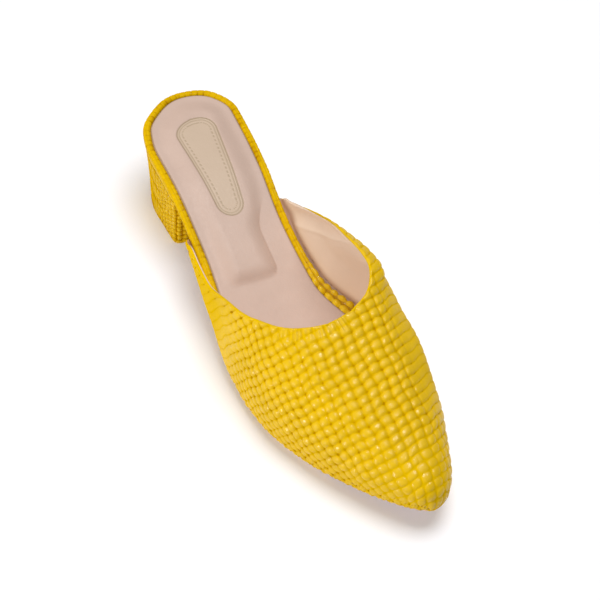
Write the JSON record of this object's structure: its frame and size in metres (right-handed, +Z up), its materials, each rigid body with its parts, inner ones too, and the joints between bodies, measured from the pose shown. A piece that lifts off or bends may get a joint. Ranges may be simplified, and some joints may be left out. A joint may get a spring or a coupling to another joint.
{
  "type": "block heel mule",
  "caption": "Backless pointed toe mule with a woven leather vamp, nude insole, wrapped footbed rim and middle height block heel, right shoe.",
  "frame": {"origin": "on the floor under the middle of the shoe", "axes": "+X from heel to toe, +Y to the medial side, +Z up"},
  "size_m": [0.2694, 0.088, 0.0589],
  "materials": {
    "woven_leather": "semi-gloss yellow leather pressed in a basket weave",
    "nude_leather": "smooth matte nude leather",
    "nude_rubber": "matte nude rubber with fine wavy ribs"
  },
  "bodies": {
    "root": {"outsole": "nude_rubber", "heel": "woven_leather", "footbed": "woven_leather", "sock": "nude_leather", "upper": "woven_leather"}
  },
  "joints": []
}
